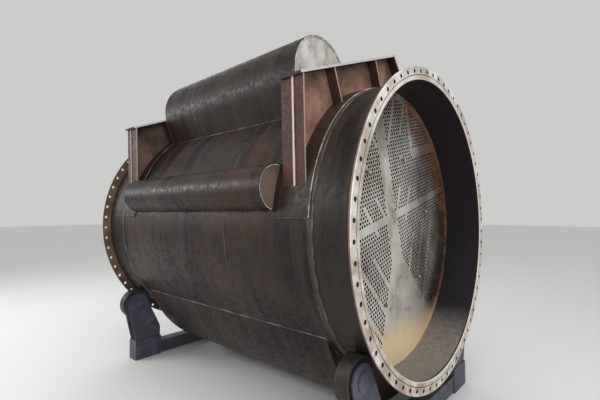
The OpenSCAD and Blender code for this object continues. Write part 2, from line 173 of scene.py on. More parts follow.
class CondenserPlates(bpy.types.PropertyGroup):
    """Outlines of the plates that the welds follow."""

    pad_start: length("Pad start", "Saddle pad behind the flange face", 0.385)
    pad_length: length("Pad length", "Saddle pad along the vessel", 0.280)
    pad_angle: bpy.props.FloatProperty(
        name="Pad angle", description="Half angle of the saddle pad, in degrees", default=64)
    dome_radius: length("Dome radius", "Outside radius of the dome", 0.364)
    dome_height: length("Dome centre", "Dome centre from the axis", 1.407)
    dome_ends: both_ends("Dome ends", "Dome ends along the vessel", (-0.96, 1.07))
    duct_radius: length("Duct radius", "Outside radius of the side ducts", 0.178)
    duct_out: length("Duct centre", "Duct centre from the axis", 1.205)
    duct_angle: bpy.props.FloatProperty(
        name="Duct angle", description="Duct angle from the saddles, in degrees", default=53.5)
    duct_ends: both_ends("Duct ends", "Duct ends along the vessel", (-1.04, 1.07))
    belly_radius: length("Belly radius", "Outside radius of the belly", 1.153)
    belly_drop: length("Belly centre", "Belly centre below the axis", 0.441)
    belly_ends: both_ends("Belly ends", "Belly ends along the vessel", (-1.305, 1.268))
    bead: length("Bead radius", "Radius of a plain weld bead", 0.005)
    step: length("Bead step", "Distance between rings of a bead", 0.016)
    cheek_out: length("Cheek face", "Outer face of a cheek from its wheel", 0.018)
    cheek_inset: length("Cheek inset", "Foot of a cheek inside the pedestal's end", 0.008)
    pad_rise: length("Pad weld height", "Centre of a pad's weld above the shell", 0.005)
    end_inset: length("End weld inset", "Weld of an end plate inside the end of its skin", 0.006)
    dome_edge: length("Dome weld inset", "Weld of a dome end inside the dome's outline", 0.010)
    duct_edge: length("Duct weld inset", "Weld of a duct end inside the duct's outline", 0.008)
    belly_inset: length("Belly weld inset", "Weld of a belly end inside the belly's end", 0.004)
    seam: length("Seam radius", "Radius of the butt weld in the shell", 0.003)
    shell_seam: length("Shell seam", "Place of the shell's girth seam", -0.48)
    dome_seam: length("Dome seam", "Place of the seam across the dome", 0.52)
    duct_seam: length("Duct seam", "Place of the seam across the ducts", 0.43)


class CondenserColors(bpy.types.PropertyGroup):
    """Main colours of the finishes."""

    shell_dark: finish_color("Shell, dark", "Mill scale of the shell where it is darkest", (18, 13, 12))
    shell_light: finish_color("Shell, light", "Mill scale of the shell where it is worn", (50, 41, 37))
    shell_rust: finish_color("Shell, rust", "Rust on the shell", (78, 46, 32))
    # The channel inside colour is painted shade in the bore; the channel dust is dust and painted light at
    # its bottom.
    channel_inside_shade: finish_color("Channel inside", "Inside of the end channels", (36, 32, 38))
    channel_dust_and_light: finish_color("Channel dust", "Dust that lies in the end channels", (132, 126, 118))
    ribs: finish_color("Ribs", "Ribs of the saddles", (82, 46, 40))
    web: finish_color("Web", "Web of the front saddle", (168, 134, 112))
    base_plate: finish_color("Base plate", "Base plates of the saddles", (72, 60, 58))
    dome_end: finish_color("Dome end", "End plates of the dome", (212, 208, 204))
    duct_end: finish_color("Duct end", "End plates of the side ducts", (128, 104, 90))
    flange: finish_color("Flange", "Machined face of the flanges", (238, 234, 228))
    flange_stain: finish_color("Flange stain", "Rust on the face of the flanges", (160, 116, 86))
    sheet: finish_color("Tubesheet", "Bare plate of the tubesheets", (206, 202, 196))
    sheet_rust: finish_color("Tubesheet rust", "Rust at the rim of the tubesheets", (142, 92, 62))
    sheet_stain: finish_color("Tubesheet stain", "Stain at the bottom of the tubesheets", (248, 220, 178))
    weld: finish_color("Weld", "Weld metal in its brightest places", (232, 228, 220))
    stand_paint: finish_color("Stand paint", "Paint of the stands", (66, 67, 79))
    tread: finish_color("Tread", "Worn tread of the wheels", (46, 38, 35))


GROUPS = {
    "condenser_view": CondenserView,
    "condenser_field": CondenserField,
    "condenser_plates": CondenserPlates,
    "condenser_colors": CondenserColors,
}


# Shading


class Finish:
    """A material and short ways to add its nodes."""

    def __init__(self, name):
        self.material = bpy.data.materials.new(name)
        self.material.use_nodes = True
        self.tree = self.material.node_tree
        self.tree.nodes.clear()
        self.output = self.tree.nodes.new("ShaderNodeOutputMaterial")
        self.shader = self.tree.nodes.new("ShaderNodeBsdfPrincipled")
        self.tree.links.new(self.shader.outputs[0], self.output.inputs["Surface"])
        self.coordinates = self.tree.nodes.new("ShaderNodeTexCoord")

    def link(self, value, socket):
        """Feeds a socket from another socket, or sets it to a value."""
        if isinstance(value, bpy.types.NodeSocket):
            self.tree.links.new(value, socket)
        elif value is not None:
            socket.default_value = value

    def place(self, scale=(1, 1, 1)):
        """Object coordinates, stretched."""
        stretched = self.tree.nodes.new("ShaderNodeMapping")
        stretched.inputs["Scale"].default_value = scale
        self.link(self.coordinates.outputs["Object"], stretched.inputs["Vector"])
        return stretched.outputs[0]

    def unrolled(self, scale=(1, 1, 1)):
        """Way round the shell, way along it and distance from its axis, in metres, then stretched."""
        x, y, z = self.split(self.place())
        across = self.math("SUBTRACT", x, AXIS.x)
        high = self.math("SUBTRACT", z, AXIS.z)
        angle = self.math("ARCTAN2", across, high)
        square = self.math("ADD", self.math("MULTIPLY", across, across), self.math("MULTIPLY", high, high))
        joined = self.tree.nodes.new("ShaderNodeCombineXYZ")
        parts = (self.math("MULTIPLY", angle, SHELL_R), y, self.math("SQRT", square))
        for part, factor, socket in zip(parts, scale, joined.inputs):
            self.link(self.math("MULTIPLY", part, factor), socket)
        return joined.outputs[0]

    def noise(self, scale, detail=4, stretch=(1, 1, 1), rough=0.55, vector=None):
        """Cloudy noise, on stretched Object coordinates where no other vector is given."""
        node = self.tree.nodes.new("ShaderNodeTexNoise")
        self.link(self.place(stretch) if vector is None else vector, node.inputs["Vector"])
        node.inputs["Scale"].default_value = scale
        node.inputs["Detail"].default_value = detail
        node.inputs["Roughness"].default_value = rough
        return node.outputs["Fac"]

    def split(self, vector):
        """The three parts of a vector."""
        node = self.tree.nodes.new("ShaderNodeSeparateXYZ")
        self.link(vector, node.inputs[0])
        return node.outputs

    def math(self, operation, first, second=0.0):
        """One sum of two values."""
        node = self.tree.nodes.new("ShaderNodeMath")
        node.operation = operation
        self.link(first, node.inputs[0])
        self.link(second, node.inputs[1])
        return node.outputs[0]

    def band(self, value, low, high, out_low=0.0, out_high=1.0):
        """Maps a range to another one, held at its ends."""
        node = self.tree.nodes.new("ShaderNodeMapRange")
        node.interpolation_type = "SMOOTHSTEP"
        self.link(value, node.inputs["Value"])
        self.link(low, node.inputs["From Min"])
        self.link(high, node.inputs["From Max"])
        self.link(out_low, node.inputs["To Min"])
        self.link(out_high, node.inputs["To Max"])
        return node.outputs[0]

    def mix(self, factor, first, second):
        """The first colour where the factor is 0 and the second where it is 1."""
        node = self.tree.nodes.new("ShaderNodeMix")
        node.data_type = "RGBA"
        self.link(factor, node.inputs["Factor"])
        self.link(first, node.inputs["A"])
        self.link(second, node.inputs["B"])
        return node.outputs["Result"]

    def bump(self, height, strength, distance):
        """A fine unevenness of the surface."""
        node = self.tree.nodes.new("ShaderNodeBump")
        node.inputs["Strength"].default_value = strength
        node.inputs["Distance"].default_value = distance
        self.link(height, node.inputs["Height"])
        return node.outputs[0]

    def done(self, color, roughness=0.6, metallic=0.0, normal=None, specular=0.4):
        """Sets the shader and gives the material."""
        self.link(color, self.shader.inputs["Base Color"])
        self.link(roughness, self.shader.inputs["Roughness"])
        self.shader.inputs["Metallic"].default_value = metallic
        self.shader.inputs["Specular IOR Level"].default_value = specular
        if normal is not None:
            self.link(normal, self.shader.inputs["Normal"])
        return self.material


def mill_plate(name, dark, light, rust, rust_share=0.5, inside=None, dust=None, seam=None):
    """Hot rolled plate with its scale, streaks round the shell and patches of rust.

    Where an inside is given, the bore has that colour as painted shade, and is lighter at the bottom with
    dust and painted light.
    A seam is a butt weld ground flush, at that place along the vessel.
    """
    f = Finish(name)
    along, radius = f.split(f.unrolled())[1:]
    cloud = f.noise(1.3, 5, vector=f.unrolled())
    fine = f.noise(24, 6)
    streak = f.noise(1.0, 5, vector=f.unrolled((0.7, 16, 0.2)))
    hair = f.noise(1.0, 3, vector=f.unrolled((1.6, 70, 0.2)))
    color = f.mix(f.band(cloud, 0.32, 0.66), dark, light)
    color = f.mix(f.band(streak, 0.46, 0.66, 0, 0.8), color, light)
    color = f.mix(f.band(hair, 0.54, 0.70, 0, 0.6), color, light)
    color = f.mix(f.band(f.noise(1.0, 4, vector=f.unrolled((0.8, 9, 0.3))), 0.50, 0.66, 0, 0.8), color, dark)
    warm = f.noise(0.9, 6, vector=f.unrolled((1, 2.6, 1)), rough=0.6)
    color = f.mix(f.band(warm, 0.48, 0.68, 0, rust_share), color, rust)
    spots = f.math("MULTIPLY", f.band(f.noise(3.4, 6, rough=0.6), 0.58, 0.74),
                   f.band(fine, 0.35, 0.65, 0.3, 1))
    color = f.mix(f.math("MULTIPLY", spots, rust_share * 0.45), color, rust)
    if inside is not None:
        high = f.split(f.place())[2]
        # Inside the bore: the inside colour is painted shade, and the dust towards the bottom is dust and
        # painted light.
        within = f.band(radius, BORE_R + 0.004, BORE_R + 0.002)
        low = f.band(f.math("SUBTRACT", high, AXIS.z), -0.80, -1.12)
        shade_dust_and_light = f.mix(f.math("MULTIPLY", low, f.band(fine, 0.3, 0.6, 0.7, 1)), inside, dust)
        color = f.mix(within, color, shade_dust_and_light)
    if seam is not None:
        away = f.math("ABSOLUTE", f.math("SUBTRACT", along, seam))
        ground = f.math("MULTIPLY", f.band(away, 0.005, 0.003), f.band(fine, 0.3, 0.6, 0.35, 0.9))
        color = f.mix(ground, color, tone(112, 104, 96))
        color = f.mix(f.math("MULTIPLY", f.band(away, 0.011, 0.007), f.band(away, 0.003, 0.005)), color, dark)
    rough = f.band(fine, 0.3, 0.7, 0.34, 0.58)
    height = f.math("ADD", fine, f.math("MULTIPLY", cloud, 2.0))
    return f.done(color, rough, normal=f.bump(height, 0.07, 0.003), specular=0.21)


def plain_finish(name, color, roughness):
    """One even colour."""
    return Finish(name).done(color, roughness)


# Radii on a flange: outer edge of the groove, bright lip, and the ring that the bolt holes lie in
GROOVE_R = 1.250
LIP_R = 1.2072
BOLT_RING = (1.240, 1.293)


def flange_finish(name, face_y, outward, face_one, face_two, stain):
    """Machined ring: pale face with a dark groove and a bright lip, rust on the rim and on the back."""
    f = Finish(name)
    along, radius = f.split(f.unrolled())[1:]
    high = f.math("SUBTRACT", f.split(f.place())[2], AXIS.z)
    fine = f.noise(60, 5)
    cloud = f.noise(5, 6)
    color = f.mix(f.band(cloud, 0.35, 0.68), face_one, face_two)
    lower = f.band(high, 0.3, -1.0, 0.2, 0.55)
    rusty = f.math("MULTIPLY", f.band(f.noise(8, 7, rough=0.7), 0.42, 0.62), lower)
    color = f.mix(rusty, color, stain)
    deep = f.math("MULTIPLY", f.math("SUBTRACT", along, face_y), -outward)
    groove = f.math("MULTIPLY", f.band(deep, 0.0012, 0.0025), f.band(radius, GROOVE_R, GROOVE_R - 0.005))
    color = f.mix(groove, color, tone(38, 34, 32))
    lip = f.math("MULTIPLY", f.band(radius, LIP_R, LIP_R - 0.001), f.band(radius, BORE_R, BORE_R + 0.0006))
    color = f.mix(lip, color, tone(228, 224, 216))
    back = f.math("MULTIPLY", f.band(deep, 0.004, 0.009), f.band(radius, BORE_R + 0.001, BORE_R + 0.003))
    color = f.mix(back, color, f.mix(f.band(cloud, 0.35, 0.65), tone(136, 108, 88), tone(98, 80, 70)))
    # Painted shade: the walls of the bolt holes are darkened.
    facing = f.math("ABSOLUTE", f.split(f.coordinates.outputs["Normal"])[1])
    inner, outer = BOLT_RING
    hole = f.math("MULTIPLY", f.band(radius, outer, outer - 0.003), f.band(radius, inner, inner + 0.003))
    color = f.mix(f.math("MULTIPLY", hole, f.band(facing, 0.6, 0.3)), color, tone(26, 24, 24))
    return f.done(color, f.band(fine, 0.3, 0.7, 0.35, 0.55), 0.3, f.bump(fine, 0.1, 0.001))


def stud_finish(name, end_tone, shaded_side_tone):
    """Bright end faces and a side darkened as painted shade."""
    f = Finish(name)
    facing = f.split(f.coordinates.outputs["Normal"])[1]
    end = f.band(f.math("ABSOLUTE", facing), 0.7, 0.9)
    return f.done(f.mix(end, shaded_side_tone, end_tone), 0.4, 0.3)


def sheet_finish(name, bare, rust, stain):
    """Drilled plate: grey with rust at the rim, tan stains at the bottom, painted shade on the right side, at
    the top and in a band inside the rim, and hole walls darkened as painted shade.
    """
    f = Finish(name)
    radius = f.split(f.unrolled())[2]
    x, y, z = f.split(f.place())
    side = f.math("SUBTRACT", x, AXIS.x)
    high = f.math("SUBTRACT", z, AXIS.z)
    cloud = f.noise(2.4, 6, rough=0.6)
    fine = f.noise(40, 6)
    streak = f.noise(2.0, 5, (7, 1, 0.8))
    color = f.mix(f.band(cloud, 0.38, 0.68), bare, tone(160, 154, 147))
    color = f.mix(f.band(streak, 0.5, 0.70, 0, 0.6), color, tone(212, 210, 206))
    # Painted shade: the right side and the top of the sheet are darker.
    painted_side_shade = f.math("MAXIMUM", f.band(side, 0.02, 0.6, 0, 0.92), f.band(high, 0.5, 0.95, 0, 0.6))
    painted_side_shade = f.math("MULTIPLY", painted_side_shade, f.band(cloud, 0.3, 0.6, 0.7, 1))
    color = f.mix(painted_side_shade, color, tone(74, 67, 64))
    # Painted shade: a dark band inside the rim on the right side, below the top.
    painted_rim_shade = f.math("MULTIPLY", f.band(radius, 0.84, 1.02), f.band(side, 0.45, 0.75))
    painted_rim_shade = f.math("MULTIPLY", painted_rim_shade, f.band(high, 0.74, 0.52))
    color = f.mix(f.math("MULTIPLY", painted_rim_shade, f.band(fine, 0.25, 0.55, 0.55, 0.9)), color, tone(46, 40, 38))
    color = f.mix(f.band(f.noise(5, 7, rough=0.7), 0.52, 0.66, 0, 0.6), color, tone(124, 90, 68))
    flakes = f.band(f.noise(9, 7, rough=0.7), 0.38, 0.56, 0.15, 1)
    rim = f.math("MULTIPLY", f.band(radius, 1.11, 1.18), flakes)
    upper = f.math("MULTIPLY", f.band(radius, 0.8, 1.1), f.band(f.math("ADD", high, side), 0.7, 1.3))
    upper = f.math("MULTIPLY", upper, f.band(f.noise(5, 6, rough=0.7), 0.4, 0.58))
    color = f.mix(f.math("MULTIPLY", f.math("MAXIMUM", rim, upper), 0.9), color, rust)
    low = f.math("MULTIPLY", f.band(high, -0.72, -1.1), f.band(cloud, 0.2, 0.6, 0.55, 1))
    color = f.mix(low, color, stain)
    # Painted shade: the walls of the tube holes are darkened.
    inner = f.band(f.math("ABSOLUTE", y), abs(SHEET_FACE) - 0.001, abs(SHEET_FACE) - 0.003)
    color = f.mix(inner, color, tone(20, 18, 18))
    outer = f.band(radius, BORE_R + 0.002, BORE_R + 0.004)
    color = f.mix(outer, color, tone(66, 58, 54))
    rough = f.band(fine, 0.3, 0.7, 0.4, 0.65)
    return f.done(color, rough, 0.2, f.bump(fine, 0.12, 0.001))


def edge_plate(name, face, face_two, edge, edge_axis, grime=None, dirt=0.5):
    """Plate whose cut edges are lighter; edge_axis is the axis that the cut edges face."""
    f = Finish(name)
    cloud = f.noise(4, 6)
    fine = f.noise(50, 6)
    color = f.mix(f.band(cloud, 0.35, 0.68), face, face_two)
    runs = f.band(f.noise(2.2, 6, (6, 6, 0.8)), 0.50, 0.76, 0, 0.6)
    color = f.mix(runs, color, face_two)
    if grime is not None:
        color = f.mix(f.band(f.noise(6, 8, (1, 1, 0.6), rough=0.7), 0.50, 0.66, 0, dirt), color, grime)
    facing = f.split(f.coordinates.outputs["Normal"])[edge_axis]
    cut = f.band(f.math("ABSOLUTE", facing), 0.8, 0.95)
    color = f.mix(cut, color, edge)
    rough = f.band(fine, 0.3, 0.7, 0.5, 0.75)
    return f.done(color, rough, 0.1, f.bump(fine, 0.2, 0.002))


def weld_finish(name, dark, light):
    """Weld metal: fine ripples, in places wire brushed bright."""
    f = Finish(name)
    patch = f.noise(9, 5)
    fine = f.noise(150, 3)
    color = f.mix(f.band(patch, 0.42, 0.62), dark, light)
    return f.done(color, 0.5, 0.4, f.bump(fine, 0.5, 0.003))


def paint_finish(name, base, worn, dirt):
    """Machine paint with dust, oil and worn patches."""
    f = Finish(name)
    cloud = f.noise(7, 6)
    fine = f.noise(45, 6)
    color = f.mix(f.band(cloud, 0.4, 0.7), base, worn)
    color = f.mix(f.band(f.noise(14, 8, rough=0.7), 0.56, 0.68, 0, 0.7), color, dirt)
    return f.done(color, f.band(fine, 0.3, 0.7, 0.4, 0.65), 0.0, f.bump(fine, 0.2, 0.002))


def wheel_finish(name, node, worn):
    """Wheel with a dark worn tread and a grey turned face."""
    low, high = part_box(node)
    center = (low + high) / 2
    edge = (high.z - low.z) / 2 - 0.0045
    f = Finish(name)
    x, _, z = f.split(f.place())
    du = f.math("SUBTRACT", x, center.x)
    dw = f.math("SUBTRACT", z, center.z)
    radius = f.math("SQRT", f.math("ADD", f.math("POWER", du, 2.0), f.math("POWER", dw, 2.0)))
    cloud = f.noise(12, 6)
    fine = f.noise(70, 5)
    tread = f.mix(f.band(cloud, 0.35, 0.7), worn, tone(66, 54, 48))
    face = f.mix(f.band(cloud, 0.35, 0.7), tone(78, 76, 80), tone(60, 56, 58))
    outside = f.band(radius, edge, edge + 0.002)
    color = f.mix(outside, face, tread)
    return f.done(color, f.band(fine, 0.3, 0.7, 0.4, 0.6), 0.3, f.bump(fine, 0.15, 0.002))


def dress(names, material):
    """Gives CAD nodes one material."""
    for name in names:
        mesh = frame["nodes"][name].data
        mesh.materials.clear()
        mesh.materials.append(material)


# Pieces


def new_piece(name, vertices, faces, material=None, edges=()):
    """A mesh object from its points and faces, or edges."""
    mesh = bpy.data.meshes.new(name)
    mesh.from_pydata([tuple(v) for v in vertices], list(edges), list(faces))
    mesh.update()
    piece = bpy.data.objects.new(name, mesh)
    bpy.context.scene.collection.objects.link(piece)
    if material is not None:
        mesh.materials.append(material)
    return piece


# Sides of a tile, guide studs in their ring, points round a sheet's rim, and how near two points are one
TILE_SIDES = 6
STUDS = 6
RIM_STEPS = 240
SAME_POINT = 5e-5

# Single rows left out along the slanted baffles: row number from the middle, lowest and highest place
SLANTED_LANES = {
    -25: (-BORE_R, -0.13),
    -19: (-BORE_R, -0.09),
    -13: (-BORE_R, -0.13),
    -7: (0.0, 0.30),
    -1: (0.118, 0.34),
    3: (0.80, BORE_R),
    9: (0.74, BORE_R),
}
NO_LANE = (1, 0)


def is_drilled(s, u, w):
    """True where the field has a hole; u and w are counted from the middle of the field."""
    if math.hypot(u + s.offset, w) > BORE_R - s.rim:
        return False
    across = abs(u)
    if across < s.lane_width / 2 and w > s.cross_height:
        return False
    if abs(w - s.cross_height) < s.cross_width / 2:
        return False
    if across < s.core_width / 2 and w < s.cross_height:
        return False
    if w < -s.core_depth and across < s.core_width / 2 - s.wedge_spread * (w + s.core_depth):
        return False
    if abs(u - s.air_side) < s.air_width / 2 and w > s.air_height:
        return False
    if abs(w - s.air_height) < s.air_width / 2 and u > s.air_side:
        return False
    for i in range(STUDS):
        angle = math.radians(360 * i / STUDS)
        if math.hypot(u - s.stud_ring * math.cos(angle), w - s.stud_ring * math.sin(angle)) < s.stud_room:
            return False
    low, high = SLANTED_LANES.get(round((w / math.sqrt(3) - across) / s.pitch), NO_LANE)
    return not low < w < high


def field_tiles(s):
    """Centres of all drilled holes in the field's own frame."""
    row = s.pitch * math.sqrt(3) / 2
    rows = int(BORE_R / row) + 1
    columns = int((BORE_R + abs(s.offset)) / s.pitch) + 1
    for j in range(-rows, rows + 1):
        for i in range(-columns, columns + 1):
            u = (i + (0.5 if j % 2 else 0)) * s.pitch
            if is_drilled(s, u, j * row):
                yield u, j * row


def around_tile(sides, radius):
    """Corners of a tile or of its hole, as u and w from its centre."""
    angles = [math.radians(30 + 360 * k / sides) for k in range(sides)]
    return [(radius * math.cos(angle), radius * math.sin(angle)) for angle in angles]


def tile_piece(s):
    """One six-sided tile of plate with its hole: both faces and the wall of the hole."""
    sides = TILE_SIDES * s.steps
    outside = around_tile(TILE_SIDES, s.pitch / math.sqrt(3))
    hole = around_tile(sides, s.hole / 2)
    vertices = [(u, y, w) for y in (0, s.thickness) for u, w in outside + hole]
    back = TILE_SIDES + sides
    faces = []
    for k in range(TILE_SIDES):
        ring = [TILE_SIDES + (k * s.steps + m) % sides for m in range(s.steps, -1, -1)]
        face = [k, (k + 1) % TILE_SIDES] + ring
        faces += [face, [i + back for i in reversed(face)]]
    for k in range(sides):
        i, j = TILE_SIDES + k, TILE_SIDES + (k + 1) % sides
        faces.append([i, j, j + back, i + back])
    return new_piece("tube_hole_tile", vertices, faces)


def field_border(s):
    """The plate between the tiles and its rim, both faces and the rim's own surface."""
    points, index, used = [], {}, {}
    outside = around_tile(TILE_SIDES, s.pitch / math.sqrt(3))
    for u, w in field_tiles(s):
        ring = []
        for du, dw in outside:
            key = (round((u + du) / SAME_POINT), round((w + dw) / SAME_POINT))
            if key not in index:
                index[key] = len(points)
                points.append((u + du, w + dw))
            ring.append(index[key])
        for k in range(TILE_SIDES):
            edge = frozenset((ring[k], ring[(k + 1) % TILE_SIDES]))
            used[edge] = used.get(edge, 0) + 1
    rim = []
    for k in range(RIM_STEPS):
        angle = math.radians(360 * k / RIM_STEPS)
        rim.append(len(points))
        points.append((SHELL_R * math.cos(angle) - s.offset, SHELL_R * math.sin(angle)))
    pairs = list(zip(rim, rim[1:] + rim[:1]))
    triangles = fill_border(points, [tuple(edge) for edge, count in used.items() if count == 1] + pairs)
    count = len(points)
    vertices = [(u, y, w) for y in (0, s.thickness) for u, w in points]
    faces = triangles + [[i + count for i in reversed(face)] for face in triangles]
    faces += [[j, i, i + count, j + count] for i, j in pairs]
    return new_piece("field_border", vertices, faces)


def fill_border(points, border):
    """Triangles between the tiles and the rim."""
    net = bmesh.new()
    at = {}
    for pair in border:
        for i in pair:
            if i not in at:
                at[i] = net.verts.new((points[i][0], points[i][1], 0))
    back = {vertex: i for i, vertex in at.items()}
    for first, second in border:
        net.edges.new((at[first], at[second]))
    made = bmesh.ops.triangle_fill(net, use_beauty=True, use_dissolve=False, edges=net.edges[:])
    triangles = []
    for face in made["geom"]:
        if isinstance(face, bmesh.types.BMFace):
            corners = [back[v] for v in face.verts]
            (ax, az), (bx, bz), (cx, cz) = (points[i] for i in corners)
            if (bx - ax) * (cz - az) - (bz - az) * (cx - ax) < 0:
                corners.reverse()
            triangles.append(corners)
    net.free()
    return triangles


def new_tree(name, inputs):
    """A node group for meshes, with its named inputs."""
    tree = bpy.data.node_groups.new(name, "GeometryNodeTree")
    sockets = tree.interface
    sockets.new_socket("Geometry", in_out="INPUT", socket_type="NodeSocketGeometry")
    for key, kind in inputs.items():
        sockets.new_socket(key, in_out="INPUT", socket_type=kind)
    sockets.new_socket("Geometry", in_out="OUTPUT", socket_type="NodeSocketGeometry")
    return tree


def close_tree(tree, result, material):
    """Ends a node group in real faces of one material."""
    real = tree.nodes.new("GeometryNodeRealizeInstances")
    paint = tree.nodes.new("GeometryNodeSetMaterial")
    end = tree.nodes.new("NodeGroupOutput")
    paint.inputs["Material"].default_value = material
    tree.links.new(result, real.inputs[0])
    tree.links.new(real.outputs[0], paint.inputs["Geometry"])
    tree.links.new(paint.outputs[0], end.inputs["Geometry"])


def drilled_tree(material):
    """Node group that sets a tile on every point and joins the border to them."""
    tree = new_tree("drilled_plate", {"Tile": "NodeSocketObject", "Border": "NodeSocketObject"})
    add = tree.nodes.new
    link = tree.links.new
    start = add("NodeGroupInput")
    tile, border = add("GeometryNodeObjectInfo"), add("GeometryNodeObjectInfo")
    spread = add("GeometryNodeInstanceOnPoints")
    join = add("GeometryNodeJoinGeometry")
    link(start.outputs["Tile"], tile.inputs["Object"])
    link(start.outputs["Border"], border.inputs["Object"])
    link(start.outputs["Geometry"], spread.inputs["Points"])
    link(tile.outputs["Geometry"], spread.inputs["Instance"])
    link(border.outputs["Geometry"], join.inputs[0])
    link(spread.outputs[0], join.inputs[0])
    close_tree(tree, join.outputs[0], material)
    return tree


def grown(name, source, tree, values, material):
    """The mesh that a node group makes of a source object, as a piece of its own; the source goes."""
    changer = source.modifiers.new("made", "NODES")
    changer.node_group = tree
    named = {item.name: item.identifier for item in tree.interface.items_tree if item.in_out == "INPUT"}
    for key, value in values.items():
        changer[named[key]] = value
    bpy.context.view_layer.update()
    made = source.evaluated_get(bpy.context.evaluated_depsgraph_get())
    mesh = bpy.data.meshes.new_from_object(made)
    mesh.name = name
    mesh.materials.clear()
    mesh.materials.append(material)
    mesh.polygons.foreach_set("material_index", [0] * len(mesh.polygons))
    piece = bpy.data.objects.new(name, mesh)
    bpy.context.scene.collection.objects.link(piece)
    bpy.data.objects.remove(source)
    bpy.data.node_groups.remove(tree)
    return piece


def tubesheet(name, face_y, inward, material):
    """A fully drilled tubesheet; inward is +1 where the plate lies behind its face along +Y."""
    s = bpy.context.scene.condenser_field
    helpers = {"Tile": tile_piece(s), "Border": field_border(s)}
    centers = new_piece(name + "_holes", [(u, 0, w) for u, w in field_tiles(s)], [])
    piece = grown(name, centers, drilled_tree(material), helpers, material)
    for helper in helpers.values():
        bpy.data.objects.remove(helper)
    place = Matrix.Translation((AXIS.x, face_y, AXIS.z)) @ Matrix.Rotation(-(ROLL + s.turn), 4, "Y")
    place = place @ Matrix.Translation((s.offset, 0, 0)) @ Matrix.Diagonal((1, inward, 1, 1))
    net = bmesh.new()
    net.from_mesh(piece.data)
    bmesh.ops.remove_doubles(net, verts=net.verts[:], dist=SAME_POINT / 5)
    net.transform(place)
    if inward < 0:
        bmesh.ops.reverse_faces(net, faces=net.faces[:])
    net.to_mesh(piece.data)
    net.free()
    return piece


def bead_tree(material):
    """Node group that lays a slightly uneven weld bead along every line of a mesh."""
    tree = new_tree("weld_bead", {"Bead radius": "NodeSocketFloat", "Step": "NodeSocketFloat"})
    add = tree.nodes.new
    link = tree.links.new
    start = add("NodeGroupInput")
    lines = add("GeometryNodeMeshToCurve")
    even = add("GeometryNodeResampleCurve")
    even.mode = "LENGTH"
    place = add("GeometryNodeInputPosition")
    wobble = add("ShaderNodeTexNoise")
    wobble.inputs["Scale"].default_value = 40
    spread = add("ShaderNodeMapRange")
    spread.inputs["To Min"].default_value = 0.7
    spread.inputs["To Max"].default_value = 1.3
    ring = add("GeometryNodeCurvePrimitiveCircle")
    ring.inputs["Resolution"].default_value = 6
    sweep = add("GeometryNodeCurveToMesh")
    sweep.inputs["Fill Caps"].default_value = True
    link(start.outputs["Geometry"], lines.inputs["Mesh"])
    link(lines.outputs["Curve"], even.inputs["Curve"])
    link(start.outputs["Step"], even.inputs["Length"])
    link(place.outputs[0], wobble.inputs["Vector"])
    link(wobble.outputs["Fac"], spread.inputs["Value"])
    link(even.outputs[0], sweep.inputs["Curve"])
    link(start.outputs["Bead radius"], ring.inputs["Radius"])
    link(ring.outputs["Curve"], sweep.inputs["Profile Curve"])
    link(spread.outputs[0], sweep.inputs["Scale"])
    close_tree(tree, sweep.outputs[0], material)
    return tree


def lay_beads(name, routes, radius, material, body):
    """One piece of weld along the given routes, each a list of points."""
    s = bpy.context.scene.condenser_plates
    vertices, edges = [], []
    for route in routes:
        base = len(vertices)
        vertices += route
        edges += [(base + k, base + k + 1) for k in range(len(route) - 1)]
    lines = new_piece(name + "_lines", vertices, [], edges=edges)
    sizes = {"Bead radius": radius, "Step": s.step}
    piece = grown(name, lines, bead_tree(material), sizes, material)
    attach(piece, body)
    return piece


def ring_route(radius, y, start=0.0, end=360.0, step=1.5, center_w=0.0, center_u=0.0):
    """Points along an arc across the vessel, a step of degrees apart."""
    count = max(2, int(abs(end - start) / step))
    return [
        around(radius, start + (end - start) * k / count, y, center_w, center_u)
        for k in range(count + 1)
    ]


def straight(u, w, low_y, high_y):
    """A line along the vessel."""
    return [in_vessel(u, low_y, w), in_vessel(u, high_y, w)]


# Operators


# Half of the arc, in degrees, that a duct's end weld follows
DUCT_ARC = 86

# Half the side of the floor
FLOOR = 60


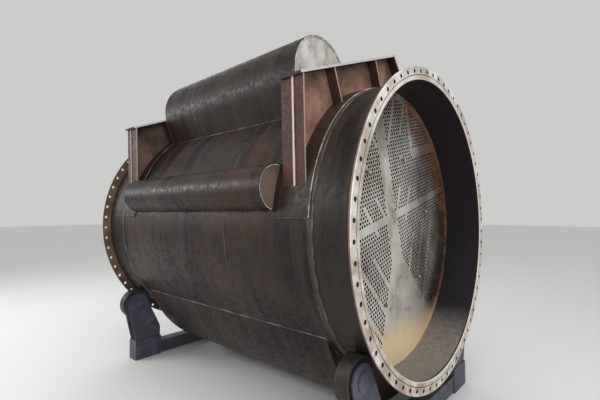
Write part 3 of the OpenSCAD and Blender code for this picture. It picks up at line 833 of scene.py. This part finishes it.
class CondenserStage(bpy.types.Operator):
    """Sets the camera, the floor and the light"""

    bl_idname = "condenser.stage"
    bl_label = "Stage"

    def execute(self, context):
        view = context.scene.condenser_view
        camera = bpy.data.objects.new("camera", bpy.data.cameras.new("camera"))
        context.scene.collection.objects.link(camera)
        camera.data.lens = view.lens
        camera.data.sensor_width = 36
        camera.data.sensor_fit = "HORIZONTAL"
        camera.location = AXIS + Vector(view.from_axis)
        camera.rotation_euler = view.turn
        context.scene.camera = camera
        context.scene.view_settings.view_transform = "Standard"
        corners = [(FLOOR * x, FLOOR * y, 0) for x, y in ((-1, -1), (1, -1), (1, 1), (-1, 1))]
        new_piece("floor", corners, [(0, 1, 2, 3)],
                           plain_finish("floor_finish", (*view.backdrop, 1), 0.9))
        self.light(context, view)
        return {"FINISHED"}

    def light(self, context, view):
        """A pale room and four soft lamps."""
        world = bpy.data.worlds.new("room")
        context.scene.world = world
        world.use_nodes = True
        sky = world.node_tree.nodes["Background"]
        sky.inputs["Color"].default_value = (*view.backdrop, 1)
        sky.inputs["Strength"].default_value = 0.75
        # Name, place, what it points at, long side, short side, roll in degrees and power in watts
        lamps = (
            ("overhead", (-1.5, -3.0, 6.5), (0.0, 0.0, 1.2), 5.0, 5.0, 0, 170),
            ("front", (-5.5, -6.0, 4.0), (0.0, -0.8, 1.4), 3.5, 3.5, 0, 120),
            ("far", (2.5, 5.0, 5.5), (0.0, 0.5, 1.5), 4.0, 4.0, 0, 60),
            ("strip", (-6.2, 6.0, 4.4), (-0.6, 0.0, 2.5), 6.0, 1.5, 27, 300),
        )
        for name, place, aim, long_side, short_side, roll, power in lamps:
            lamp = bpy.data.lights.new(name, "AREA")
            lamp.shape = "RECTANGLE"
            lamp.size = long_side
            lamp.size_y = short_side
            lamp.energy = power
            holder = bpy.data.objects.new(name, lamp)
            context.scene.collection.objects.link(holder)
            holder.location = place
            aim_at = Vector(aim) - Vector(place)
            rolled = Quaternion((0, 0, 1), math.radians(roll))
            holder.rotation_euler = (aim_at.to_track_quat("-Z", "Y") @ rolled).to_euler()


class CondenserPlating(bpy.types.Operator):
    """Gives every rolled and cut plate of the vessel its finish"""

    bl_idname = "condenser.plating"
    bl_label = "Plates"

    def execute(self, context):
        c = context.scene.condenser_colors
        self.skins(c, context.scene.condenser_plates)
        self.saddles(c)
        self.end_plates(c)
        for end, face_y, outward in (("front", FRONT_Y, -1), ("rear", REAR_Y, 1)):
            dress((f"{end}_flange",), flange_finish(
                f"{end}_machined", face_y, outward, c.flange, tone(180, 168, 156), c.flange_stain))
        # The studs' darker side tone is painted shade.
        dress(("front_studs", "rear_studs"), stud_finish(
            "stud_steel", tone(226, 222, 214), tone(118, 110, 102)))
        return {"FINISHED"}

    def skins(self, c, s):
        """Rolled plates: the shell and what is welded to it."""
        mill = (c.shell_dark, c.shell_light, c.shell_rust)
        dress(("barrel", "belly_skin", "belly_front_plate", "belly_rear_plate", "front_pad", "rear_pad"),
              mill_plate("mill_scale", *mill, 0.4))
        dress(("dome_skin",), mill_plate("dome_scale", *mill, 0.4, seam=s.dome_seam))
        dress(("left_duct_skin", "right_duct_skin"), mill_plate("duct_scale", *mill, 0.4, seam=s.duct_seam))
        dress(("front_channel", "rear_channel"),
              mill_plate("channel_scale", *mill, 0.35, c.channel_inside_shade, c.channel_dust_and_light))

    def saddles(self, c):
        """Ribs, webs and base plates; the cut edges of a rib and a base plate face along the vessel."""
        dress(("front_ribs", "rear_ribs"), edge_plate(
            "primed_rib", c.ribs, tone(58, 38, 36), tone(176, 152, 136), 1, tone(40, 32, 32)))
        dress(("front_web",), edge_plate(
            "web_rust", c.web, tone(122, 84, 68), tone(196, 190, 184), 0, tone(70, 56, 54), 0.6))
        # The rear web has a darker copy of the front web's rusted finish; the darkening is painted shade, as
        # the rear saddle lies in shadow.
        dress(("rear_web",), edge_plate(
            "rear_web_painted_shade", tone(112, 86, 76), tone(74, 56, 50), tone(176, 160, 150), 0,
            tone(50, 42, 40), 0.6))
        dress(("front_base_plate", "rear_base_plate"), edge_plate(
            "base_scale", c.base_plate, tone(54, 46, 46), tone(196, 194, 196), 1))

    def end_plates(self, c):
        """Flat plates that close the dome and the side ducts."""
        dress(("dome_front_plate", "dome_rear_plate"), edge_plate(
            "dome_end_plate", c.dome_end, tone(172, 162, 154), tone(206, 200, 192), 2,
            tone(96, 86, 82), 0.45))
        dress([f"{side}_duct_{end}_plate" for side in ("left", "right") for end in ("front", "rear")],
              edge_plate("duct_end_plate", c.duct_end, tone(98, 86, 78), tone(150, 130, 114), 2))


class CondenserTubesheets(bpy.types.Operator):
    """Drills both tubesheets with the full field of tube holes"""

    bl_idname = "condenser.tubesheets"
    bl_label = "Tubesheets"

    def execute(self, context):
        c = context.scene.condenser_colors
        material = sheet_finish("tubesheet_steel", c.sheet, c.sheet_rust, c.sheet_stain)
        for end, face_y, inward in (("front", SHEET_FACE, 1), ("rear", -SHEET_FACE, -1)):
            piece = tubesheet(f"{end}_drilled_sheet", face_y, inward, material)
            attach(piece, "vessel")
            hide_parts(f"{end}_tubesheet")
        return {"FINISHED"}


class CondenserWelds(bpy.types.Operator):
    """Lays the weld beads of the shell, saddles, dome, ducts and belly"""

    bl_idname = "condenser.welds"
    bl_label = "Welds"

    def execute(self, context):
        s = context.scene.condenser_plates
        dark = weld_finish("shell_weld", tone(62, 56, 54), tone(110, 104, 98))
        light = weld_finish("brushed_weld", tone(120, 104, 92), tone(176, 168, 158))
        girths = [ring_route(SHELL_R, side * y) for side in (-1, 1) for y in (-SHEET_FACE, -BARREL_START)]
        lay_beads("girth_welds", girths, s.bead, dark, "vessel")
        self.pads(s, dark, light)
        bright = weld_finish("ground_weld", tone(186, 178, 168), context.scene.condenser_colors.weld)
        self.dome(s, dark, bright)
        self.ducts(s, dark, bright)
        self.belly(s, dark)
        lay_beads("shell_seam", [ring_route(SHELL_R, s.shell_seam)], s.seam, dark, "vessel")
        return {"FINISHED"}

    def pads(self, s, dark, light):
        """Welds round both saddle pads, wire brushed on the side of the flange."""
        pads, brushed = [], []
        weld_r = SHELL_R + s.pad_rise
        for side in (-1, 1):
            low = side * (FRONT_Y + s.pad_start)
            high = side * (FRONT_Y + s.pad_start + s.pad_length)
            brushed.append(ring_route(weld_r, low, -s.pad_angle, s.pad_angle))
            pads.append(ring_route(weld_r, high, -s.pad_angle, s.pad_angle))
            for turn in (-s.pad_angle, s.pad_angle):
                pads.append([around(weld_r, turn, low), around(weld_r, turn, high)])
        lay_beads("pad_welds", pads, s.bead * 1.2, dark, "vessel")
        lay_beads("brushed_pad_welds", brushed, s.bead * 1.4, light, "vessel")

    def duct_center(self, s, side):
        """Height and sideways place of a duct's centre, in the vessel's section."""
        turn = math.radians(side * s.duct_angle)
        return s.duct_out * math.cos(turn), s.duct_out * math.sin(turn)

    def dome(self, s, dark, bright):
        """Welds along the foot of the dome and round its two ends."""
        foot = math.sqrt(SHELL_R ** 2 - s.dome_radius ** 2)
        low, high = s.dome_ends
        routes = [straight(side * s.dome_radius, foot, low, high) for side in (-1, 1)]
        lay_beads("dome_foot_welds", routes, s.bead * 1.2, dark, "vessel")
        edges = []
        inner = s.dome_radius - s.dome_edge
        base = foot + s.end_inset
        for y in (low + s.end_inset, high - s.end_inset):
            arch = ring_route(inner, y, -90, 90, 4, s.dome_height)
            edges.append([in_vessel(-inner, y, base)] + arch + [in_vessel(inner, y, base)])
        lay_beads("dome_end_welds", edges, s.bead * 1.6, bright, "vessel")

    def ducts(self, s, dark, bright):
        """Welds along the feet of both side ducts and round their ends."""
        half = math.degrees(2 * math.asin(s.duct_radius / 2 / s.duct_out))
        low, high = s.duct_ends
        feet, edges = [], []
        for side in (-1, 1):
            for turn in (s.duct_angle - half, s.duct_angle + half):
                feet.append([around(SHELL_R, side * turn, low), around(SHELL_R, side * turn, high)])
            middle = side * s.duct_angle
            for y in (low + s.end_inset, high - s.end_inset):
                edges.append(ring_route(s.duct_radius - s.duct_edge, y, middle - DUCT_ARC, middle + DUCT_ARC,
                                        6, *self.duct_center(s, side)))
        lay_beads("duct_foot_welds", feet, s.bead * 1.2, dark, "vessel")
        lay_beads("duct_end_welds", edges, s.bead * 1.4, bright, "vessel")

    def belly(self, s, dark):
        """Welds round the belly, where it leaves the shell."""
        drop, big = s.belly_drop, s.belly_radius
        cosine = (SHELL_R ** 2 + drop ** 2 - big ** 2) / (2 * SHELL_R * drop)
        meet = 180 - math.degrees(math.acos(cosine))
        low, high = s.belly_ends
        feet = [[around(SHELL_R, side * meet, low), around(SHELL_R, side * meet, high)] for side in (-1, 1)]
        for y in (low + s.belly_inset, high - s.belly_inset):
            feet.append(ring_route(SHELL_R, y, meet, 360 - meet))
        lay_beads("belly_welds", feet, s.bead * 1.3, dark, "vessel")


class CondenserRolls(bpy.types.Operator):
    """Paints the stands, lays their welds and finishes the four wheels"""

    bl_idname = "condenser.rolls"
    bl_label = "Turning rolls"

    def execute(self, context):
        c = context.scene.condenser_colors
        dress(STAND_NODES, paint_finish("stand_paint", c.stand_paint, tone(86, 90, 102), tone(48, 44, 44)))
        self.welds(context.scene.condenser_plates)
        for node in WHEELS:
            dress((node,), wheel_finish(node + "_steel", node, c.tread))
        return {"FINISHED"}

    def welds(self, s):
        """Welds round the ends of the beams and along the feet of the cheek plates."""
        routes = []
        for end in ("front", "rear"):
            low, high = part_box(f"{end}_beam")
            for x in (low.x, high.x):
                routes.append([Vector((x, y, z)) for y, z in (
                    (low.y, low.z), (low.y, high.z), (high.y, high.z), (high.y, low.z))])
            for side in ("left", "right"):
                wheel_low, wheel_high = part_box(f"{end}_{side}_wheel")
                low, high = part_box(f"{end}_{side}_pedestal")
                for y in (wheel_low.y - s.cheek_out, wheel_high.y + s.cheek_out):
                    routes.append([Vector((low.x + s.cheek_inset, y, high.z)),
                                   Vector((high.x - s.cheek_inset, y, high.z))])
        painted = weld_finish("stand_weld", tone(58, 60, 74), tone(98, 100, 110))
        lay_beads("stand_welds", routes, s.bead, painted, "stands")


class CondenserPanel(bpy.types.Panel):
    """Lists the steps and their sizes"""

    bl_idname = "VIEW3D_PT_condenser"
    bl_label = "Condenser"
    bl_space_type = "VIEW_3D"
    bl_region_type = "UI"
    bl_category = "Condenser"

    def draw(self, context):
        for step in STEPS:
            self.layout.operator(step.bl_idname)
        for name, group in GROUPS.items():
            box = self.layout.box()
            for key in group.__annotations__:
                box.prop(getattr(context.scene, name), key)


STEPS = (CondenserStage, CondenserPlating, CondenserTubesheets, CondenserWelds, CondenserRolls)


def register():
    """Makes the sizes, the steps and the panel known to Blender."""
    for group in GROUPS.values():
        bpy.utils.register_class(group)
    for name, group in GROUPS.items():
        setattr(bpy.types.Scene, name, bpy.props.PointerProperty(type=group))
    for step in STEPS:
        bpy.utils.register_class(step)
    bpy.utils.register_class(CondenserPanel)


def unregister():
    """Takes away what register() made."""
    bpy.utils.unregister_class(CondenserPanel)
    for step in reversed(STEPS):
        bpy.utils.unregister_class(step)
    for name, group in reversed(list(GROUPS.items())):
        delattr(bpy.types.Scene, name)
        bpy.utils.unregister_class(group)


def main():
    """Runs every step in order."""
    register()
    bpy.ops.condenser.stage()
    bpy.ops.condenser.plating()
    bpy.ops.condenser.tubesheets()
    bpy.ops.condenser.welds()
    bpy.ops.condenser.rolls()


if __name__ == "__main__":
    main()
